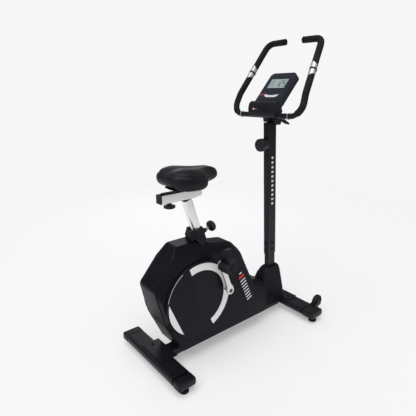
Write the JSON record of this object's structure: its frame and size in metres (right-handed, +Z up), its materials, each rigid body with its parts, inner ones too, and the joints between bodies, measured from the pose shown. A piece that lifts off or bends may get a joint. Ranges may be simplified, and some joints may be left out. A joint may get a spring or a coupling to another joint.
{
  "type": "exercise bike",
  "caption": "Upright indoor exercise bike with enclosed flywheel, cranks and strapped pedals, sliding saddle on a pinned post, leaning mast, console and looped handlebar.",
  "frame": {"origin": "middle of the footprint, on the floor", "axes": "+X the way the rider faces, +Y to the rider's left, +Z up"},
  "size_m": [0.9736, 0.512, 1.4117],
  "materials": {
    "frame_paint": "satin black paint",
    "casing_plastic": "satin moulded plastic",
    "disc_plastic": "semi-gloss plastic with printed silver bands",
    "chromed_steel": "polished",
    "crank_silver": "satin",
    "black_plastic": "moulded",
    "rubber": "matte",
    "saddle_vinyl": "smooth vinyl",
    "grip_foam": "closed-cell foam",
    "console_plastic": "satin",
    "display_window": "grey-green display",
    "button_rubber": "soft",
    "cast_iron": "machined",
    "bare_steel": "plain"
  },
  "bodies": {
    "frame": {"spine_tube": "frame_paint", "seat_tube": "frame_paint", "mast_stub": "frame_paint", "rear_stabilizer": "frame_paint", "front_stabilizer": "frame_paint", "rear_mount_plate": "frame_paint", "front_mount_plate": "frame_paint", "rear_cap_left": "black_plastic", "rear_cap_right": "black_plastic", "front_cap_left": "black_plastic", "front_cap_right": "black_plastic", "casing_left": "casing_plastic", "casing_right": "casing_plastic", "disc_cover_left": "disc_plastic", "disc_cover_right": "disc_plastic", "flywheel_axle": "bare_steel", "flywheel_bracket": "frame_paint", "drive_belt": "rubber", "seat_collar": "black_plastic", "mast": "frame_paint", "mast_boot": "casing_plastic", "mast_head": "frame_paint", "head_cover": "casing_plastic", "console_housing": "console_plastic", "display_window": "display_window", "tension_cable": "rubber"},
    "crank_set": {"crank_axle": "bare_steel", "drive_pulley": "black_plastic", "crank_right": "crank_silver", "crank_left": "crank_silver"},
    "pedal_right_set": {"pedal_right": "black_plastic", "toe_strap_right": "rubber"},
    "pedal_left_set": {"pedal_left": "black_plastic", "toe_strap_left": "rubber"},
    "flywheel_set": {"flywheel": "cast_iron"},
    "brake": {"magnet_bracket": "bare_steel"},
    "seat_post_set": {"seat_post": "chromed_steel", "saddle_rail": "chromed_steel", "rail_end_cap": "black_plastic"},
    "saddle": {"saddle_carriage": "black_plastic", "saddle_pan": "black_plastic", "saddle_pad": "saddle_vinyl"},
    "saddle_knob": {"saddle_knob": "black_plastic"},
    "pop_pin": {"pop_pin": "black_plastic"},
    "clamp_knob": {"clamp_knob": "black_plastic"},
    "tension_knob": {"tension_knob": "black_plastic"},
    "handlebar_set": {"handlebar": "frame_paint", "grip_left": "grip_foam", "grip_right": "grip_foam", "pulse_sensor_left": "chromed_steel", "pulse_sensor_right": "chromed_steel"},
    "transport_wheel_left": {"transport_wheel_left": "rubber"},
    "transport_wheel_right": {"transport_wheel_right": "rubber"},
    "rear_foot_left": {"rear_foot_left": "rubber"},
    "rear_foot_right": {"rear_foot_right": "rubber"},
    "front_foot_left": {"front_foot_left": "rubber"},
    "front_foot_right": {"front_foot_right": "rubber"},
    "button_1": {"button_1": "button_rubber"},
    "button_2": {"button_2": "button_rubber"},
    "button_3": {"button_3": "button_rubber"}
  },
  "joints": [
    {"name": "flywheel_spin", "type": "hinge", "parent": "frame", "child": "flywheel_set", "pos_m": [-0.28625, 0, 0.3], "axis": [0, 1, 0], "continuous": true},
    {"name": "crank_spin", "type": "hinge", "parent": "frame", "child": "crank_set", "pos_m": [-0.11875, 0, 0.31], "axis": [0, 1, 0], "continuous": true},
    {"name": "pedal_right_spin", "type": "hinge", "parent": "crank_set", "child": "pedal_right_set", "pos_m": [-0.17303, -0.1645, 0.45518], "axis": [0, 1, 0], "continuous": true},
    {"name": "pedal_left_spin", "type": "hinge", "parent": "crank_set", "child": "pedal_left_set", "pos_m": [-0.06447, 0.1645, 0.16482], "axis": [0, 1, 0], "continuous": true},
    {"name": "seat_height", "type": "slide", "parent": "frame", "child": "seat_post_set", "axis": [-0.3206, 0, 0.9472], "range_m": [-0.11, 0.05]},
    {"name": "saddle_fore_aft", "type": "slide", "parent": "seat_post_set", "child": "saddle", "axis": [1, 0, 0], "range_m": [-0.01, 0.028]},
    {"name": "saddle_knob_turn", "type": "hinge", "parent": "saddle", "child": "saddle_knob", "pos_m": [-0.34825, 0, 0.727], "axis": [0, 0, 1], "range_deg": [-180, 180]},
    {"name": "pop_pin_pull", "type": "slide", "parent": "frame", "child": "pop_pin", "axis": [0.9472, 0, 0.3206], "range_m": [0, 0.008], "stiffness_N_per_m": 1500},
    {"name": "handlebar_tilt", "type": "hinge", "parent": "frame", "child": "handlebar_set", "pos_m": [0.19675, 0, 1.062], "axis": [0, 1, 0], "range_deg": [-8, 8]},
    {"name": "clamp_knob_turn", "type": "hinge", "parent": "frame", "child": "clamp_knob", "pos_m": [0.24775, -0.035, 1.042], "axis": [0, 1, 0], "range_deg": [-180, 180]},
    {"name": "tension_knob_turn", "type": "hinge", "parent": "frame", "child": "tension_knob", "pos_m": [0.21343, 0, 0.92561], "axis": [-0.9982, 0, -0.0598], "range_deg": [0, 300]},
    {"name": "brake_swing", "type": "hinge", "parent": "frame", "child": "brake", "pos_m": [-0.26325, 0.035, 0.434], "axis": [0, 1, 0], "range_deg": [0, 4]},
    {"name": "transport_wheel_left_spin", "type": "hinge", "parent": "frame", "child": "transport_wheel_left", "pos_m": [0.45175, 0.2, 0.079], "axis": [0, 1, 0], "continuous": true},
    {"name": "transport_wheel_right_spin", "type": "hinge", "parent": "frame", "child": "transport_wheel_right", "pos_m": [0.45175, -0.2, 0.079], "axis": [0, 1, 0], "continuous": true},
    {"name": "rear_foot_left_turn", "type": "hinge", "parent": "frame", "child": "rear_foot_left", "pos_m": [-0.44225, 0.205, 0.014], "axis": [0, 0, 1], "range_deg": [-180, 180]},
    {"name": "rear_foot_right_turn", "type": "hinge", "parent": "frame", "child": "rear_foot_right", "pos_m": [-0.44225, -0.205, 0.014], "axis": [0, 0, 1], "range_deg": [-180, 180]},
    {"name": "front_foot_left_turn", "type": "hinge", "parent": "frame", "child": "front_foot_left", "pos_m": [0.38575, 0.226, 0.014], "axis": [0, 0, 1], "range_deg": [-180, 180]},
    {"name": "front_foot_right_turn", "type": "hinge", "parent": "frame", "child": "front_foot_right", "pos_m": [0.38575, -0.226, 0.014], "axis": [0, 0, 1], "range_deg": [-180, 180]},
    {"name": "button_1_press", "type": "slide", "parent": "frame", "child": "button_1", "axis": [0.7426, 0, -0.6697], "range_m": [0, 0.0015], "stiffness_N_per_m": 800},
    {"name": "button_2_press", "type": "slide", "parent": "frame", "child": "button_2", "axis": [0.7426, 0, -0.6697], "range_m": [0, 0.0015], "stiffness_N_per_m": 800},
    {"name": "button_3_press", "type": "slide", "parent": "frame", "child": "button_3", "axis": [0.7426, 0, -0.6697], "range_m": [0, 0.0015], "stiffness_N_per_m": 800}
  ],
  "couplings": [
    {"joint": "crank_spin", "follows": "flywheel_spin", "ratio": 0.21279},
    {"joint": "brake_swing", "follows": "tension_knob_turn", "ratio": 0.013333}
  ]
}
